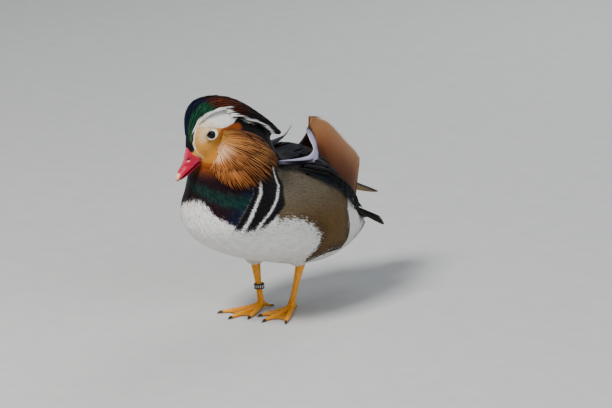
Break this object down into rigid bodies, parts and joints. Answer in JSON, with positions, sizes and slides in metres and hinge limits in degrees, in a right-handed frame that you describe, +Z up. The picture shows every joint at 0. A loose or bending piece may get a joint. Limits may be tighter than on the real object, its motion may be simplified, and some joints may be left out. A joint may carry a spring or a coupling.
{
  "type": "mandarin duck",
  "caption": "Life-size still model of a standing mandarin duck drake, with crest, cheek plumes, raised sail feathers, folded wings, webbed feet and a leg ring.",
  "frame": {"origin": "on the floor, under the middle of the whole bird's box", "axes": "-Y is the way the bird's body faces, +X its left side, +Z up"},
  "size_m": [0.1144, 0.2855, 0.2235],
  "materials": {
    "face_plumage": "soft matt feather",
    "breast_plumage": "soft feather with a green and blue sheen",
    "flank_plumage": "soft matt feather",
    "crest_plumage": "glossy feather with a green and copper sheen",
    "ruff_plumage": "silky feather",
    "wing_plumage": "smooth feather with a blue sheen",
    "shoulder_plumage": "glossy feather with a blue sheen",
    "sail_feather": "smooth feather",
    "eye": "wet gloss",
    "bill": "satin horn",
    "leg_skin": "scaled satin skin",
    "claw": "satin horn",
    "ring": "satin plastic"
  },
  "bodies": {
    "root": {"head": "face_plumage", "neck": "breast_plumage", "torso": "flank_plumage", "crest": "crest_plumage", "ruff_left": "ruff_plumage", "ruff_right": "ruff_plumage", "wing_left": "wing_plumage", "wing_right": "wing_plumage", "scapulars_left": "shoulder_plumage", "scapulars_right": "shoulder_plumage", "sail_left": "sail_feather", "sail_right": "sail_feather", "tail": "wing_plumage", "eye_left": "eye", "eye_right": "eye", "bill_upper": "bill", "bill_lower": "bill", "leg_left": "leg_skin", "leg_right": "leg_skin", "foot_left": "leg_skin", "foot_right": "leg_skin", "claw_inner_left": "claw", "claw_middle_left": "claw", "claw_outer_left": "claw", "claw_hind_left": "claw", "claw_inner_right": "claw", "claw_middle_right": "claw", "claw_outer_right": "claw", "claw_hind_right": "claw", "leg_band": "ring"}
  },
  "joints": []
}
